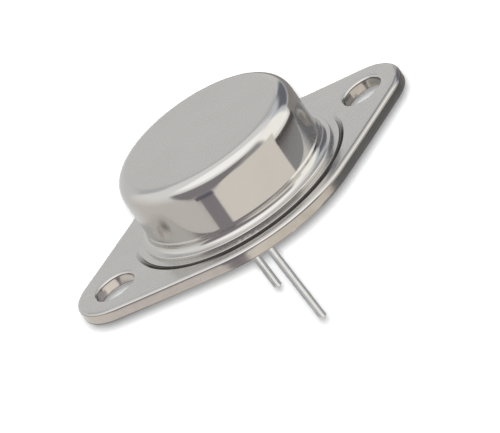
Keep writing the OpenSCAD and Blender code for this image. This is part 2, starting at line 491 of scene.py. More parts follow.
# %% Torn sides
EDGE_SHADE_IN, EDGE_SHADE_OUT = 10.7, 11.2         # mm from the middle towards the edge whose side is painted with shade
EDGE_SHADE_FROM, EDGE_SHADE_FULL = 4.5, 6.5        # mm along X
PALE_FULL, PALE_NONE = -8.0, -2.0
# Shade painted into one end of each screw hole: the X of each spot, its Y and its radius, in mm.
HOLE_SHADE_X, HOLE_SHADE_Y, HOLE_SHADE_R = (-16.95, 13.2), 0.1, 0.75


def painted_edge_shade(tree, at, where):
    """1 outside the straight edge at the front right, where shade is painted on the side."""
    out = vector_math(tree, "DOT_PRODUCT", at, towards(360 - EDGE_A), (-1150, -1100))["Value"]
    outside = spread(tree, out, EDGE_SHADE_IN * MM, EDGE_SHADE_OUT * MM, 0.0, 1.0, (-900, -1100))
    along = spread(tree, where["X"], EDGE_SHADE_FROM * MM, EDGE_SHADE_FULL * MM, 0.0, 1.0, (-900, -1250))
    return math_node(tree, "MULTIPLY", outside, along, (-700, -1150))


def torn_sides(tree, at, where, patches, painted_dark):
    """Colour of the upright sides."""
    torn = mix_colour(tree, patches, TEAR, TEAR_DARK, (-500, 300))
    paler = spread(tree, where["X"], PALE_FULL * MM, PALE_NONE * MM, 1.0, 0.0, (-900, -1400))
    torn = mix_colour(tree, paler, torn, TEAR_PALE, (-430, 450))
    # Painted shade along the front right side.
    torn = mix_colour(tree, painted_dark, torn, EDGE_SHADE, (-370, 380))
    # Painted shade in one end of each screw hole.
    for x in HOLE_SHADE_X:
        middle = (x * MM, HOLE_SHADE_Y * MM, 0.0)
        moved = vector_math(tree, "SUBTRACT", at, middle, (-1150, -1600))
        spot = ring_mask(tree, moved[0], -1.0, HOLE_SHADE_R, 0.4, (-900, -1600))
        torn = mix_colour(tree, spot, torn, HOLE_SHADE, (-340, 500))
    return torn


print("stained side faces bearing", round(360 - EDGE_A, 1))

# %% [markdown]
# ## The flange's finish put together
# How far a face looks up tells the kinds of face apart: 1 on the flats, 0 on the
# sides, and between them on the rolled edge. Shade is painted dark where the
# rolled edge begins and, on the front right side, where it ends. The groove's
# painted shade is made dull as well.

# %% Flange finish
def make_flange_metal():
    material, tree, shader, at = metal("flange_nickel")
    where = split(tree, at, (-1150, -900))
    grain = use_group(tree, GRAIN, at, (-900, 0), Scale=1.0, Stretch=0.25)
    patches = use_group(tree, HANDLING, at, (-900, -300), Scale=1.6).outputs["Mask"]
    edges = use_group(tree, RUBBED, None, (-900, -500), Low=0.52, High=0.62)
    # Mask of the shade painted in and in front of the weld groove.
    groove_shade = painted_groove_shade(tree, at, where)
    # Mask of the shade painted on the front right side.
    painted_dark = painted_edge_shade(tree, at, where)
    up = facing_up(tree)
    upright = spread(tree, up, 0.05, 0.35, 1.0, 0.0, (-600, 500))
    flat = spread(tree, up, 0.93, 0.998, 0.0, 1.0, (-600, 700))

    colour = mix_colour(tree, upright, NICKEL, torn_sides(tree, at, where, patches, painted_dark), (-300, 300))
    # Painted shade: a dark line where the rolled edge begins.
    crease_shade = between(tree, up, (0.06, 0.16), (0.42, 0.60), 0.75, (-400, 950))
    colour = mix_colour(tree, crease_shade, colour, CREASE_SHADE, (-210, 450))
    # Painted shade: a dark line at the top of the rolled edge, on the front right side.
    brink_shade = between(tree, up, (0.84, 0.92), (0.965, 0.99), 0.6, (-400, 1250))
    brink_shade = math_node(tree, "MULTIPLY", brink_shade, painted_dark, (-300, 1100))
    colour = mix_colour(tree, brink_shade, colour, BRINK_SHADE, (-160, 600))
    worn = spread(tree, patches, 0, 1, 0, 0.12, (-500, 100))
    colour = mix_colour(tree, worn, colour, NICKEL_WORN, (-120, 300))
    rubbed = math_node(tree, "MULTIPLY", edges.outputs["Mask"], 0.5, (-120, 120))
    colour = mix_colour(tree, rubbed, colour, NICKEL_RUBBED, (60, 300))
    # The groove's painted shade, also made dull and less metallic.
    colour = mix_colour(tree, groove_shade, colour, GROOVE_SHADE, (240, 300))
    tree.links.new(colour, shader.inputs["Base Color"])
    tree.links.new(spread(tree, groove_shade, 0, 1, 1.0, 0.4, (60, 120)), shader.inputs["Metallic"])

    rough = spread(tree, flat, 0, 1, 0.11, 0.27, (-300, 0))
    adds = (
        (upright, 0.0, 0.05), (groove_shade, 0.0, 0.65),
        (grain.outputs["Mask"], -0.02, 0.03), (patches, -0.02, 0.03),
    )
    for step, (mask, least, most) in enumerate(adds):
        more = spread(tree, mask, 0, 1, least, most, (-300, -150 * (step + 1)))
        rough = math_node(tree, "ADD", rough, more, (120 * step, -50))
    tree.links.new(rough, shader.inputs["Roughness"])
    set_bump(tree, shader, grain.outputs["Height"], 0.03, 0.003)
    return material


FLANGE_METAL = make_flange_metal()
print("finish:", FLANGE_METAL.name)

# %% [markdown]
# ## Nickel on the can
# The can is drawn through a polished die, so its wall is close to a mirror. Its
# rounded corner is softer, because the sheet stretches there, and its flat top
# was never touched by the die and stays satin. The wall is duller at its two
# ends along X, where the part is picked up.

# %% Can finish
HANDLED_FROM, HANDLED_FULL = 7.2, 8.7    # mm from the middle along X


def make_can_metal():
    material, tree, shader, at = metal("can_nickel")
    grain = use_group(tree, GRAIN, at, (-900, 0), Scale=1.2, Stretch=1.0)
    patches = use_group(tree, HANDLING, at, (-900, -300), Scale=0.8).outputs["Mask"]
    worn = spread(tree, patches, 0, 1, 0, 0.14, (-300, 150))
    tree.links.new(mix_colour(tree, worn, NICKEL, NICKEL_WORN, (-60, 300)), shader.inputs["Base Color"])

    up = facing_up(tree)
    flat = spread(tree, up, 0.95, 0.999, 0.0, 0.12, (-600, 500))
    corner = spread(tree, up, 0.25, 0.95, 0.075, 0.15, (-600, 700))
    off = math_node(tree, "ABSOLUTE", split(tree, at, (-1150, -500))["X"], None, (-950, -500))
    handled = spread(tree, off, HANDLED_FROM * MM, HANDLED_FULL * MM, 0.0, 0.13, (-750, -500))
    upright = spread(tree, up, 0.1, 0.5, 1.0, 0.0, (-750, -650))
    handled = math_node(tree, "MULTIPLY", handled, upright, (-550, -500))
    satin = math_node(tree, "ADD", math_node(tree, "ADD", flat, corner), handled, (-300, 0))
    uneven = spread(tree, grain.outputs["Mask"], 0, 1, -0.01, 0.015, (-300, -150))
    tree.links.new(math_node(tree, "ADD", satin, uneven, (100, -50)), shader.inputs["Roughness"])
    set_bump(tree, shader, grain.outputs["Height"], 0.012, 0.002)
    return material


CAN_METAL = make_can_metal()
print("finish:", CAN_METAL.name)

# %% [markdown]
# ## The flange
# A punch pushes the flange out of steel strip through a die, which rolls the
# upper edge over and leaves the sides upright. The outline is a disc and two
# round ends, joined by straight edges that just touch both. Every point of the
# outline is kept with the direction in which it faces, so a ring can be moved
# inwards by an amount that changes along the edge: the roll is deeper towards
# one end, as when the punch runs a hair off the middle of its die.

# %% Flange outline
ROLL_LEFT = (0.50, 0.25)         # width and depth of the rolled edge towards -X
ROLL_RIGHT = (0.60, 0.44)        # and towards +X, where the punch ran closer
BURR = 0.06                      # radius of the lower edge
STRAIGHT_STEPS = 14
ROLL_TURNS, ROLL_OVER = 6.0, 14.0        # the roll changes from X = -6 mm, over 14 mm


def outline():
    """(x, y, direction x, direction y) round the flange."""
    corners = (
        (END_X, END_R, -EDGE_A, EDGE_A, 44), (0, SIDE_R, EDGE_A, 180 - EDGE_A, 110),
        (-END_X, END_R, 180 - EDGE_A, 180 + EDGE_A, 44), (0, SIDE_R, 180 + EDGE_A, 360 - EDGE_A, 110),
    )
    points = []
    for number, (x, radius, start, stop, steps) in enumerate(corners):
        for a in arc(start, stop, steps):
            points.append((x + radius * math.cos(a), radius * math.sin(a), math.cos(a), math.sin(a)))
        after = corners[(number + 1) % 4]
        a = math.radians(after[2])
        goal = (after[0] + after[1] * math.cos(a), after[1] * math.sin(a))
        last = points[-1]
        for i in range(1, STRAIGHT_STEPS):
            share = i / STRAIGHT_STEPS
            x, y = (p + (q - p) * share for p, q in zip(last, goal))
            points.append((x, y, last[2], last[3]))
    return points


OUTLINE = outline()


def edge_ring(mesh, height, left, right):
    """A ring round the flange; left and right are (inset, drop) at its two ends."""
    points = []
    for x, y, to_x, to_y in OUTLINE:
        share = min(max((x + ROLL_TURNS) / ROLL_OVER, 0.0), 1.0)
        share = share * share * (3 - 2 * share)
        inset, drop = (one + (other - one) * share for one, other in zip(left, right))
        spot = ((x - to_x * inset) * MM, (y - to_y * inset) * MM, (height - drop) * MM)
        points.append(mesh.verts.new(spot))
    return points


print("flange outline", len(OUTLINE), "points, straight edges from", round(EDGE_A, 1), "degrees")

# %% [markdown]
# ## Its edge, holes and groove
# The screw holes are punched too, so their mouths are rounded. The weld tool
# pressed the round groove harder on one side, so its rings sink there and fade
# out behind. Each of them is a stack of rings, and the flat faces are filled in
# between, which keeps every edge crisp where a cut would leave it ragged. The
# screws, once tightened, have bowed the two ends up a hair.

# %% Flange edge, holes and groove
MOUTH_WIDE, MOUTH_DEEP = 0.38, 0.25      # rounded mouth of a screw hole
BOTTOM_ROUND = 0.22
LIP = 0.06                               # radius of the groove's two lips
GROOVE_SUNK = 0.03                       # its round bottom is centred this far under the flat
FADE_FROM, FADE_OVER = 1.2, 2.2          # it deepens from 1.2 mm behind the middle, over 2.2 mm
FADE_LEAST = 0.03                        # and behind that keeps 3 % of its depth
SEAL_X = (seal_low.x + seal_high.x) / 2
SEAL_Y = -(seal_low.y + seal_high.y) / 2
SEAL_R = (seal_high.x - seal_low.x) / 2


def flange_side(mesh):
    """Rings from the underside, round the lower edge, up the side and over the roll."""
    rings = [edge_ring(mesh, 0.0, (i, -d), (i, -d)) for i, d in reversed(rounding(BURR, BURR, 3))]
    rings += [edge_ring(mesh, height, (0, 0), (0, 0)) for height in (0.3, 0.55, 0.8)]
    left, right = rounding(*ROLL_LEFT, 10), rounding(*ROLL_RIGHT, 10)
    rings += [edge_ring(mesh, PLATE_T, one, other) for one, other in zip(left, right)]
    skin_all(mesh, rings)
    return rings[-1], rings[0]


def screw_hole(mesh, x):
    """A punched hole with a soft mouth; returns its upper and lower ring."""
    upper = [
        ring(mesh, circle(x, 0, HOLE_R + w, 120), PLATE_T - d)
        for w, d in reversed(rounding(MOUTH_WIDE, MOUTH_DEEP, 8))
    ]
    lower = [
        ring(mesh, circle(x, 0, HOLE_R + w, 120), d) for w, d in rounding(BOTTOM_ROUND, BOTTOM_ROUND, 6)
    ]
    middle = ring(mesh, circle(x, 0, HOLE_R, 120), PLATE_T / 2)
    skin_all(mesh, upper + [middle] + lower)
    return upper[0], lower[-1]


def weld_groove(mesh):
    """Rings from the flat across the round-bottomed groove and up onto the land."""
    radius = GROOVE_W / 2
    middle = LAND_R + radius
    path = [
        (middle + radius + LIP + LIP * math.cos(a), PLATE_T - LIP + LIP * math.sin(a))
        for a in arc(90, 160, 5)
    ]
    path += [
        (middle + radius * math.cos(a), PLATE_T - GROOVE_SUNK + radius * math.sin(a))
        for a in arc(-15, -165, 12)
    ]
    path += [(LAND_R + LIP * (math.cos(a) - 1), LAND_Z - LIP * (1 - math.sin(a))) for a in arc(0, 90, 4)]
    deep = towards(GROOVE_SIDE)
    rings = []
    for r, z in path:
        loop = ring(mesh, circle(0, 0, r, 288), z)
        for vertex in loop:
            sunk = PLATE_T * MM - vertex.co.z
            if sunk > 0:
                share = (vertex.co.dot(deep) / MM + FADE_FROM) / FADE_OVER
                vertex.co.z = PLATE_T * MM - sunk * min(max(share, FADE_LEAST), 1.0)
        rings.append(loop)
    skin_all(mesh, rings)
    return rings[0], rings[-1]


BOW_FROM, BOW_RIGHT, BOW_LEFT = 8.0, 0.20, 0.10


def bow(mesh):
    """Lifts the two ends of the flange, more and more towards their tips."""
    reach = plate_high.x - BOW_FROM
    for vertex in mesh.verts:
        x = vertex.co.x / MM
        share = max(abs(x) - BOW_FROM, 0.0) / reach
        vertex.co.z += (BOW_RIGHT if x > 0 else BOW_LEFT) * share ** 2 * MM


def build_flange():
    mesh = bmesh.new()
    edge_top, edge_bottom = flange_side(mesh)
    groove_out, groove_in = weld_groove(mesh)
    holes = [screw_hole(mesh, side * HOLE_X) for side in (-1, 1)]
    bores = []
    for y in (-SEAL_Y, SEAL_Y):
        rings = [ring(mesh, circle(SEAL_X, y, SEAL_R, 64), z) for z in (LAND_Z, LAND_Z - 0.05, 0.05, 0)]
        skin_all(mesh, rings)
        bores.append((rings[0], rings[-1]))
    fill(mesh, edge_top, groove_out, *(top for top, bottom in holes))
    fill(mesh, groove_in, *(top for top, bottom in bores))
    fill(mesh, edge_bottom, *(bottom for top, bottom in holes + bores))
    bow(mesh)
    return mesh


flange = finish_mesh(build_flange(), "steel_flange", FLANGE_METAL)
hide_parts("base_plate")

# %% [markdown]
# ## The can
# The can is drawn from thin sheet in one stroke, so it is a body of
# revolution: a half section turned about the axis. Its corner and its foot
# have the radii of the drawing tools, and the weld tool left a small shoulder
# just over the foot. It is closed inside as well, since the sheet has a real
# thickness.

# %% Can
CORNER, FOOT, FOOT_EDGE = 1.5, 0.7, 0.12
EASE, EASE_IN = 0.65, 0.026      # the wall leans in a hair before the corner starts
EASED = math.atan(2 * EASE_IN / EASE)
SHOULDER, SHOULDER_Z, SHOULDER_H = 0.08, 2.62, 0.18
SEAM = 0.02                      # rings this close on both sides of a bend keep it crisp
CAN_STEPS = 288


def can_section():
    """Half section of the can: outer points from the foot to the axis, then inner points back."""
    flange_z = LAND_Z + SHEET
    centre = CAN_R - CORNER
    outer = [(FLANGE_R - SEAM, LAND_Z), (FLANGE_R, LAND_Z + SEAM)]
    outer += [
        (FLANGE_R - FOOT_EDGE * (1 - math.cos(a)), flange_z - FOOT_EDGE * (1 - math.sin(a)))
        for a in arc(0, 90, 5)
    ]
    foot_r = CAN_R + SHOULDER + FOOT
    outer += [(foot_r + FOOT * math.cos(a), flange_z + FOOT + FOOT * math.sin(a)) for a in arc(270, 180, 14)]
    outer += [(CAN_R + SHOULDER, SHOULDER_Z - SEAM)]
    outer += [(CAN_R + SHOULDER * (1 - i / 4), SHOULDER_Z + SHOULDER_H * i / 4) for i in range(5)]
    wall_low, wall_high = SHOULDER_Z + SHOULDER_H + SEAM, CAN_TOP - CORNER - EASE
    outer += [(CAN_R, wall_low + (wall_high - wall_low) * i / 6) for i in range(7)]
    outer += [(CAN_R - EASE_IN * (i / 6) ** 2, wall_high + EASE * i / 6) for i in range(1, 7)]
    tall, wide = CORNER / (1 - math.sin(EASED)), (CORNER - EASE_IN) / math.cos(EASED)
    outer += [
        (centre + wide * math.cos(a), CAN_TOP - tall + tall * math.sin(a))
        for a in arc(math.degrees(EASED), 90, 28)[1:]
    ]
    outer += [(r, CAN_TOP) for r in (7.6, 6.6, 5.2, 3.8, 2.4, 1.2, 0.5)]

    inside, below = CORNER - SHEET, FOOT + SHEET
    inner = [(r, CAN_TOP - SHEET) for r in (0.5, 4.0, centre)]
    inner += [
        (centre + inside * math.cos(a), CAN_TOP - CORNER + inside * math.sin(a)) for a in arc(80, 0, 8)
    ]
    inner += [
        (CAN_R + FOOT + below * math.cos(a), LAND_Z + below + below * math.sin(a)) for a in arc(180, 262, 9)
    ]
    return outer, inner


def build_can():
    mesh = bmesh.new()
    outer, inner = can_section()
    shell = [ring(mesh, circle(0, 0, r, CAN_STEPS), z) for r, z in outer]
    hollow = [ring(mesh, circle(0, 0, r, CAN_STEPS), z) for r, z in inner]
    skin_all(mesh, shell)
    skin_all(mesh, hollow)
    skin(mesh, hollow[-1], shell[0])
    for top, height in ((shell[-1], CAN_TOP), (hollow[0], CAN_TOP - SHEET)):
        centre = mesh.verts.new((0, 0, height * MM))
        for i in range(CAN_STEPS):
            mesh.faces.new((top[i], top[(i + 1) % CAN_STEPS], centre))
    return mesh


can = finish_mesh(build_can(), "drawn_can", CAN_METAL)
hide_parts("cap")

# %% [markdown]
# ## Solder on the leads
# The two leads are cut from round wire, fused into the glass and dipped in
# solder up to a hair below the flange. Dipped solder is brighter and bluer than
# nickel, and it dulls in soft patches. One mask serves for the dull patches and
# for the gentle swells of the coat, since both come from how the solder ran.

# %% Lead finish
def make_lead_metal():
    material, tree, shader, at = metal("lead_solder")
    grain = use_group(tree, GRAIN, at, (-900, 0), Scale=0.9, Stretch=1.0)
    marks = use_group(tree, HANDLING, at, (-900, -300), Scale=2.5)
    dull = spread(tree, marks.outputs["Mask"], 0, 1, 0, 0.3, (-300, 150))
    colour = mix_colour(tree, dull, (0.83, 0.85, 0.87), (0.70, 0.71, 0.72), (-60, 300))
    tree.links.new(colour, shader.inputs["Base Color"])
    rough = spread(tree, grain.outputs["Mask"], 0, 1, 0.12, 0.20, (100, -50))
    tree.links.new(rough, shader.inputs["Roughness"])
    set_bump(tree, shader, marks.outputs["Mask"], 0.4, 0.01)
    return material


LEAD_METAL = make_lead_metal()
print("finish:", LEAD_METAL.name)

# %% [markdown]
# ## The leads
# They lean a little, as they do on a part that has been handled. Inside the can
# each wire ends in a flat head for the bond wires to sit on. Rings of points
# follow the wire, so the solder coat can swell and thin slightly, and the cut
# tip is a rounded drop.

# %% Leads
CORE_R, COAT_R = 0.395, 0.405    # bare wire, and wire with its coat of solder
HEAD_R, HEAD_T = 0.9, 0.35       # the flat head that the bond wires sit on
HEAD_Z = chip_high.z
TIP_ROUND = 0.12
COAT_FROM, COAT_STEPS = 1.0, 60  # the coat starts this far under the flange


def lead_sections(length, seed):
    """(height, radius) pairs from the flat head down to the rounded tip."""
    under = HEAD_Z - HEAD_T
    pairs = [(HEAD_Z, HEAD_R - 0.06), (HEAD_Z - 0.04, HEAD_R), (under + 0.04, HEAD_R)]
    pairs += [(under, HEAD_R - 0.04), (under - 0.005, CORE_R + 0.025), (under - 0.06, CORE_R)]
    pairs += [(0.0, CORE_R), (-0.2, CORE_R)]
    for i in range(COAT_STEPS + 1):
        z = -COAT_FROM - (length - COAT_FROM - TIP_ROUND) * i / COAT_STEPS
        wave = 0.004 * math.sin(1.9 * z + seed) + 0.003 * math.sin(4.7 * z + 2 * seed)
        pairs.append((z, COAT_R + wave))
    for a in arc(20, 90, 5):
        pairs.append((TIP_ROUND * (1 - math.sin(a)) - length, COAT_R - TIP_ROUND * (1 - math.cos(a))))
    return pairs


def build_lead(y, length, lean, seed):
    """One lead as rings that follow its lean towards +X."""
    mesh = bmesh.new()
    rings = [ring(mesh, circle(SEAL_X - z * lean, y, r, 48), z) for z, r in lead_sections(length, seed)]
    skin_all(mesh, rings)
    for end in (rings[0], rings[-1]):
        mesh.faces.new(end)
    return mesh


#    name, place along Y, lean, start of its coat's waves
LEADS = (
    ("emitter", -SEAL_Y, math.tan(math.radians(2.8)), 0.4),
    ("base", SEAL_Y, math.tan(math.radians(2.3)), 2.1),
)
for name, y, lean, seed in LEADS:
    length = -measured(name + "_lead")[0].z
    wire = finish_mesh(build_lead(y, length, lean, seed), name + "_wire", LEAD_METAL)
    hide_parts(name + "_lead")

# %% [markdown]
# ## Glass for the seals
# The glass is pressed from powder and melted in place, which leaves it dark, with
# a cloudy green tint and a few bubbles. A noise gives the clouds, and the cells
# of a second texture give the bubbles.

# %% Glass
def make_seal_glass():
    material, tree, shader, at = metal("seal_glass")
    shader.inputs["Metallic"].default_value = 0.0
    shader.inputs["IOR"].default_value = 1.52
    cloud = add(tree, "ShaderNodeTexNoise", (-900, 200), Scale=1400.0, Detail=4.0)
    bubbles = add(tree, "ShaderNodeTexVoronoi", (-900, -200), Scale=2600.0)
    for node in (cloud, bubbles):
        tree.links.new(at, node.inputs["Vector"])
    murk = spread(tree, cloud.outputs[0], 0.35, 0.7, 0.0, 1.0, (-600, 200))
    colour = mix_colour(tree, murk, (0.030, 0.045, 0.042), (0.075, 0.100, 0.092), (-300, 200))
    specks = spread(tree, bubbles.outputs["Distance"], 0.05, 0.16, 1.0, 0.0, (-600, -200))
    colour = mix_colour(tree, math_node(tree, "MULTIPLY", specks, 0.5), colour, (0.22, 0.25, 0.24), (0, 200))
    tree.links.new(colour, shader.inputs["Base Color"])
    tree.links.new(spread(tree, murk, 0, 1, 0.04, 0.12, (0, 0)), shader.inputs["Roughness"])
    set_bump(tree, shader, specks, 0.3, 0.01)
    return material


SEAL_GLASS = make_seal_glass()
print("finish:", SEAL_GLASS.name)

# %% [markdown]
# ## The glass seals
# Molten glass climbs the wire and the wall of its hole, so a sealed bead is
# hollow on both faces, like the surface of water in a thin tube. The bead is a
# ring of rings: each one is blended from the wire's place to the hole's, and its
# height follows that curved face.

# %% Seals
MENISCUS = 0.144                 # how deep each face is hollowed
CLIMB = 0.04                     # how far its rims climb past the solid's faces
SEAL_STEPS = 12


def build_seal(y, lean):
    mesh = bmesh.new()
    faces = []
    for sign, rim in ((1, seal_low.z - CLIMB), (-1, seal_high.z + CLIMB)):
        rings = []
        for i in range(SEAL_STEPS + 1):
            u = i / SEAL_STEPS
            z = rim + sign * MENISCUS * math.sin(math.pi * u) ** 0.6
            x = SEAL_X - (1 - u) * z * lean
            rings.append(ring(mesh, circle(x, y, CORE_R + (SEAL_R - CORE_R) * u, 64), z))
        skin_all(mesh, rings)
        faces.append(rings)
    skin(mesh, faces[0][0], faces[1][0])
    skin(mesh, faces[0][-1], faces[1][-1])
    return mesh


for name, y, lean, seed in LEADS:
    bead = finish_mesh(build_seal(y, lean), name + "_glass", SEAL_GLASS)
    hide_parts(name + "_seal")

# %% [markdown]
# ## Inside the can
# Nobody sees these until the can is cut open, but a reader may take the model
# apart. Their solids have the right shapes already, so each one stays and only
# gets its finish: copper, silver braze, soft solder, a polished chip and
# aluminium wire. The same small recipe serves them all, with other colours.

# %% Inner finishes
def inner_finish(name, light, dark, rough_low, rough_high, metallic, stretch):
    material, tree, shader, at = metal(name)
    shader.inputs["Metallic"].default_value = metallic
    grain = use_group(tree, GRAIN, at, (-900, 0), Scale=1.0, Stretch=stretch)
    marks = use_group(tree, HANDLING, at, (-900, -300), Scale=3.0)
    colour = mix_colour(tree, marks.outputs["Mask"], light, dark, (-60, 300))
    tree.links.new(colour, shader.inputs["Base Color"])
    rough = spread(tree, grain.outputs["Mask"], 0, 1, rough_low, rough_high, (100, -50))
    tree.links.new(rough, shader.inputs["Roughness"])
    set_bump(tree, shader, grain.outputs["Height"], 0.3, 0.003)
    return material


INNER = (
    ("copper", ("heat_spreader",), (0.80, 0.42, 0.28), (0.62, 0.30, 0.20), 0.22, 0.34, 1.0, 0.2),
    ("silver_braze", ("spreader_braze",), (0.72, 0.69, 0.60), (0.52, 0.49, 0.42), 0.28, 0.42, 1.0, 1.0),
    ("soft_solder", ("die_solder",), (0.52, 0.53, 0.55), (0.38, 0.39, 0.41), 0.32, 0.46, 1.0, 1.0),
    ("silicon", ("silicon_die",), (0.20, 0.21, 0.25), (0.13, 0.14, 0.18), 0.10, 0.18, 0.7, 1.0),
    (
        "aluminium_wire", ("emitter_bond_wire_1", "emitter_bond_wire_2", "base_bond_wire"),
        (0.82, 0.82, 0.83), (0.70, 0.70, 0.72), 0.18, 0.28, 1.0, 0.4,
    ),
)
for name, nodes, *values in INNER:
    finish = inner_finish(name, *values)
    for node in nodes:
        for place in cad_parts[node].material_slots:
            place.material = finish
    print("finish:", name, "on", ", ".join(nodes))

# %% [markdown]
# ## The camera
# The part is looked at from a little above, from its long side, and the viewer's
# head is tilted by some 35 degrees. A long lens from a little over a metre away
# keeps the flange's two ends almost the same size, as in a maker's drawing.

# %% Camera
AZIMUTH, ELEVATION, TILT = math.radians(-8.92), math.radians(23.52), math.radians(-34.83)
LENS, SENSOR = 900.0, 36.0
VIEW_WIDE = 47.3889                    # what the view takes in across, in mm
AIM_RIGHT, AIM_UP = 0.41, -1.68        # where the view is centred, in mm


def camera_axes():
    """Right, up and backward directions of the viewer."""
    across = math.cos(ELEVATION)
    back = Vector((math.sin(AZIMUTH) * across, -math.cos(AZIMUTH) * across, math.sin(ELEVATION)))
    level = Vector((0, 0, 1)).cross(back).normalized()
    upright = back.cross(level)
    right = math.cos(TILT) * level + math.sin(TILT) * upright
    return right, back.cross(right), back


right, up, back = camera_axes()
distance = LENS / SENSOR * VIEW_WIDE * MM
lens = bpy.data.cameras.new("studio_camera")
lens.lens, lens.sensor_width = LENS, SENSOR
lens.clip_start, lens.clip_end = 0.01, 10.0
camera = bpy.data.objects.new("studio_camera", lens)
camera.matrix_world = Matrix.Translation(
    right * AIM_RIGHT * MM + up * AIM_UP * MM + back * distance
) @ Matrix((right, up, back)).transposed().to_4x4()
bpy.context.scene.collection.objects.link(camera)
bpy.context.scene.camera = camera
print("camera stands", round(distance, 3), "m away")

# %% [markdown]
# ## Light for shiny metal
# A mirror shows the room, so lighting metal means building the room. The world
# is plain white paper all round, at the level where a colour renders as it is
# written. Matt surfaces get less of it, because the lamps add to them.

# %% White studio
scene = bpy.context.scene
scene.view_settings.view_transform = "Standard"
world = bpy.data.worlds.new("white_studio")
scene.world = world
world.use_nodes = True
tree = world.node_tree
tree.nodes.clear()
path = add(tree, "ShaderNodeLightPath", (-700, 0))
seen = math_node(tree, "MAXIMUM", path.outputs["Is Camera Ray"], path.outputs["Is Glossy Ray"], (-450, 0))
seen = math_node(tree, "MAXIMUM", seen, path.outputs["Is Transmission Ray"], (-250, 0))
white = add(tree, "ShaderNodeBackground", (-200, 200), Strength=1.0)
white.inputs["Color"].default_value = (1, 1, 1, 1)
soft = add(tree, "ShaderNodeBackground", (-200, -200), Strength=0.6)
soft.inputs["Color"].default_value = (1, 1, 1, 1)
blend = add(tree, "ShaderNodeMixShader", (100, 0))
tree.links.new(seen, blend.inputs[0])
tree.links.new(soft.outputs[0], blend.inputs[1])
tree.links.new(white.outputs[0], blend.inputs[2])
tree.links.new(blend.outputs[0], add(tree, "ShaderNodeOutputWorld", (300, 0)).inputs["Surface"])


def softbox(name, spot, width, height, radiance):
    """A rectangular lamp at a spot, facing the part; radiance is the brightness of its face."""
    light = bpy.data.lights.new(name, "AREA")
    light.shape, light.size, light.size_y = "RECTANGLE", width, height
    light.energy = radiance * math.pi * width * height
    lamp = bpy.data.objects.new(name, light)
    lamp.matrix_world = Matrix.Translation(spot) @ spot.to_track_quat("Z", "Y").to_matrix().to_4x4()
    lamp.visible_camera = False
    scene.collection.objects.link(lamp)
    print(name, "face", radiance)
    return lamp


overhead = softbox("overhead_softbox", towards(268, 64) * 0.6, 1.3, 0.55, 0.45)
overhead.visible_glossy = False          # the tent shows the metal its bright roof

# %% [markdown]
# ## A light tent for the metal to mirror
# Shiny things are taken inside a tent of white cloth, and whatever the cloth
# shows becomes a band on the metal: its bright roof, the dim side where the
# viewer stands, a cream table in front. Here the tent is one dome that only
# mirrors can see. Its cloth is white, and soft-edged patches are laid on it by
# direction: how far round, from +X towards +Y, and how high.

# %% A soft patch
VIEWER_SIDE = 261.0              # the patches turn about this direction, the viewer's


def make_soft_patch():
    """1 inside a window of directions, with soft edges that may lean with height: Mask."""
    inputs = {
        "Turn": 0.0, "Height": 0.0, "Left": -10.0, "Right": 10.0, "Low": 0.0, "High": 20.0,
        "Soft Turn": 3.0, "Soft Height": 8.0, "Lean Left": 0.0, "Lean Right": 0.0,
    }
    tree, given, put = new_group("soft_patch", inputs, ("Mask",))
    source = given.outputs
    rise = math_node(tree, "SUBTRACT", source["Height"], source["Low"])
    gaps = []
    for limit, lean in (("Left", "Lean Left"), ("Right", "Lean Right")):
        edge = math_node(tree, "ADD", source[limit], math_node(tree, "MULTIPLY", source[lean], rise))
        pair = (source["Turn"], edge) if limit == "Left" else (edge, source["Turn"])
        gaps.append((math_node(tree, "SUBTRACT", *pair), source["Soft Turn"]))
    gaps.append((rise, source["Soft Height"]))
    gaps.append((math_node(tree, "SUBTRACT", source["High"], source["Height"]), source["Soft Height"]))
    mask = None
    for gap, soft in gaps:
        inside = add(tree, "ShaderNodeMapRange", (200, 0), interpolation_type="SMOOTHSTEP")
        inside.inputs["From Min"].default_value = -0.5
        inside.inputs["From Max"].default_value = 0.5
        tree.links.new(math_node(tree, "DIVIDE", gap, soft), inside.inputs["Value"])
        mask = inside.outputs[0] if mask is None else math_node(tree, "MULTIPLY", mask, inside.outputs[0])
    tree.links.new(mask, put.inputs["Mask"])
    return tree


SOFT_PATCH = make_soft_patch()
print("shader group:", SOFT_PATCH.name)

# %% [markdown]
# ## The patches on the cloth
# Each row below is one patch: its window of bearings and heights in degrees, how
# soft its edges are, how they lean, and its colour. Later rows lie over earlier
# ones, and a colour over 1 is cloth with a lamp behind it.

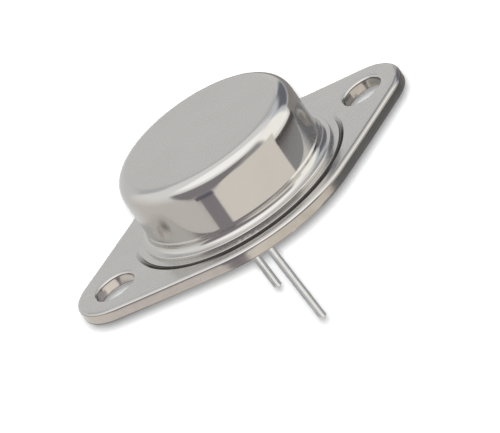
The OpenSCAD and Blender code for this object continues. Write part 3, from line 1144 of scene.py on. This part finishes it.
# %% The tent
#    name, left, right, low, high, soft turn, soft height, lean left, lean right, colour
PATCHES = (
    ("roof", 180, 348, 44, 120, 30, 16, 0, 0, (1.42, 1.42, 1.42)),
    ("left_cloth", 60, 222, -90, 12, 12, 50, 0, 0, (0.74, 0.71, 0.67)),
    ("far_cloth", 30, 122, -90, 30, 14, 10, 0, 0, (0.76, 0.76, 0.755)),
    ("far_cloth_high", 30, 122, 30, 52, 14, 10, 0, 0, (0.60, 0.615, 0.635)),
    ("right_bright", 316, 366, -14, 44, 5, 14, 0, 0, (1.34, 1.33, 1.28)),
    ("right_blue", 364, 412, 4, 46, 10, 10, 0, 0, (0.74, 0.78, 0.82)),
    ("right_dusk", 374, 416, 5, 34, 6, 10, 0, 0, (0.19, 0.20, 0.235)),
    ("right_brown", 372, 441, -90, 2, 4, 8, 0, 0, (0.32, 0.30, 0.29)),
    ("table_front", 235, 329, -90, 6, 2, 8, 0, 0, (0.93, 0.885, 0.82)),
    ("viewer_grey", 246, 282, 2, 31, 10, 14, 0, 0, (0.50, 0.49, 0.47)),
    ("right_shade", 250, 314, 6, 33, 12, 14, 0.5, 0, (0.42, 0.41, 0.395)),
    ("viewer_dark", 206, 242, -16.5, 31, 10, 8, -0.5, 1.1, (0.30, 0.28, 0.295)),
    ("table_stripe", 217, 235, -90, -12, 2, 6, 0, 0, (0.32, 0.295, 0.315)),
    ("stripe_cap", 213, 236, -21.8, -16.5, 3, 2, 0, 0, (0.16, 0.155, 0.19)),
)


def make_tent_cloth():
    material, tree, surface = new_material("tent_cloth")
    where = add(tree, "ShaderNodeTexCoord", (-1200, 0))
    spun = add(tree, "ShaderNodeVectorRotate", (-1000, 0), rotation_type="Z_AXIS")
    spun.inputs["Angle"].default_value = -math.radians(VIEWER_SIDE)
    tree.links.new(where.outputs["Object"], spun.inputs["Vector"])
    parts = split(tree, vector_math(tree, "NORMALIZE", spun.outputs[0], None, (-800, 0))[0], (-600, 0))
    turn = math_node(tree, "DEGREES", math_node(tree, "ARCTAN2", parts["Y"], parts["X"]), None)
    height = math_node(tree, "DEGREES", math_node(tree, "ARCSINE", parts["Z"], None), None)
    colour = (1.0, 1.0, 1.0)
    for name, left, right, low, high, soft_turn, soft_height, lean_left, lean_right, shade in PATCHES:
        shifted = [edge - VIEWER_SIDE for edge in (left, right)]
        for wrap in (0.0, 360.0, -360.0):
            if shifted[0] + wrap >= 180 or shifted[1] + wrap <= -180:
                continue
            window = use_group(
                tree, SOFT_PATCH, None, Left=shifted[0] + wrap, Right=shifted[1] + wrap, Low=low, High=high,
                Soft_Turn=soft_turn, Soft_Height=soft_height, Lean_Left=lean_left, Lean_Right=lean_right,
            )
            window.label = name
            tree.links.new(turn, window.inputs["Turn"])
            tree.links.new(height, window.inputs["Height"])
            colour = mix_colour(tree, window.outputs["Mask"], colour, shade)
    glow = add(tree, "ShaderNodeEmission", (600, 0), Strength=1.0)
    tree.links.new(colour, glow.inputs["Color"])
    tree.links.new(glow.outputs[0], surface)
    return material


def hide_from(thing, *kinds):
    """Keeps some kinds of ray from seeing a thing."""
    for kind in kinds:
        setattr(thing, "visible_" + kind, False)


def for_mirrors_only(mesh, name, material):
    """A stage object that the metal mirrors, but which casts no light or shadow otherwise."""
    thing = new_object(mesh, name, material)
    hide_from(thing, "camera", "diffuse", "transmission", "volume_scatter", "shadow")


tent_mesh = bmesh.new()
bmesh.ops.create_icosphere(tent_mesh, subdivisions=3, radius=0.9)
for_mirrors_only(tent_mesh, "light_tent", make_tent_cloth())
print("tent with", len(PATCHES), "patches")

# %% [markdown]
# ## Small cards close by
# Some bands belong to one piece alone. A dark card that stands close and low is
# mirrored by the leads, but passes under what the can's wall sees, because
# nearby things shift with the place that they are seen from.

# %% Cards
CARD_STEPS = 12


def card(name, azimuths, elevations, shade, away):
    """A curved card of one even shade, given by directions in degrees and its distance in metres."""
    mesh = bmesh.new()
    rows = []
    for row in range(CARD_STEPS + 1):
        e = elevations[0] + (elevations[1] - elevations[0]) * row / CARD_STEPS
        rows.append([
            mesh.verts.new(towards(azimuths[0] + (azimuths[1] - azimuths[0]) * i / CARD_STEPS, e) * away)
            for i in range(CARD_STEPS + 1)
        ])
    for one, other in zip(rows, rows[1:]):
        for i in range(CARD_STEPS):
            mesh.faces.new((one[i], one[i + 1], other[i + 1], other[i]))
    material, tree, surface = new_material(name)
    glow = add(tree, "ShaderNodeEmission", (600, 0), Strength=1.0)
    glow.inputs["Color"].default_value = (*shade, 1)
    tree.links.new(glow.outputs[0], surface)
    for_mirrors_only(mesh, name, material)
    print("card", name, "at", away, "m")


CAN_CARD, LEAD_CARD = 0.14, 0.066        # how far away the cards stand, in metres
card("right_flag_top", (326.6, 375), (-19.9, -15), (0.11, 0.10, 0.095), CAN_CARD)
card("right_flag", (326.6, 380), (-60, -19.9), (0.37, 0.36, 0.375), CAN_CARD)
card("lead_flag_left", (95, 205), (-36, -22), (0.38, 0.38, 0.38), LEAD_CARD)
card("lead_flag_right", (308, 352), (-36, -24), (0.38, 0.38, 0.38), LEAD_CARD)

# %% [markdown]
# ## The pale floor
# The part lies tilted on a pale floor and is looked at from straight above it,
# so in the part's own frame the floor is a board behind it, square to the view.
# From behind, the board lets the view through.

# %% Floor
FLOOR_BEHIND, FLOOR_R = 75.0, 0.30       # mm behind the part, and its radius in metres


def make_floor_paper():
    """Matt paper that only shows its front."""
    material, tree, surface = new_material("floor_paper")
    matt = add(tree, "ShaderNodeBsdfDiffuse", (0, 100))
    matt.inputs["Color"].default_value = (0.42, 0.42, 0.42, 1)
    clear = add(tree, "ShaderNodeBsdfTransparent", (0, -100))
    sides = add(tree, "ShaderNodeNewGeometry", (-200, 300))
    either = add(tree, "ShaderNodeMixShader", (250, 0))
    tree.links.new(sides.outputs["Backfacing"], either.inputs[0])
    tree.links.new(matt.outputs[0], either.inputs[1])
    tree.links.new(clear.outputs[0], either.inputs[2])
    tree.links.new(either.outputs[0], surface)
    return material


floor_mesh = bmesh.new()
bmesh.ops.create_circle(floor_mesh, cap_ends=True, segments=64, radius=FLOOR_R)
floor = new_object(floor_mesh, "pale_floor", make_floor_paper())
floor.data.transform(
    Matrix.Translation(-back * FLOOR_BEHIND * MM) @ Matrix((right, up, back)).transposed().to_4x4()
)
hide_from(floor, "glossy", "diffuse", "transmission", "volume_scatter", "shadow")
print("floor stands", FLOOR_BEHIND, "mm behind the part")

# %% [markdown]
# ## Its shadow
# A small lamp just above the viewer lights the floor, so the part's soft shadow
# hugs its lower edges. The lamp is linked to the floor alone, which keeps its
# hard little spot off the metal.

# %% Floor lamp
FLOOR_LAMP_WIDE, FLOOR_LAMP_LIFT = 0.0205, 0.0098        # in metres; small and near the viewer's eye
FLOOR_LAMP_FACE = 25500                  # so small a lamp has to be this bright
viewer_up = math.cos(TILT) * up + math.sin(TILT) * right
spot = camera.matrix_world.translation + viewer_up * FLOOR_LAMP_LIFT
floor_lamp = softbox("floor_lamp", spot, FLOOR_LAMP_WIDE, FLOOR_LAMP_WIDE, FLOOR_LAMP_FACE)
floor_lamp.data.shape = "DISK"
floor_lamp.visible_glossy = False
lit = bpy.data.collections.new("lit_by_floor_lamp")
lit.objects.link(floor)
floor_lamp.light_linking.receiver_collection = lit
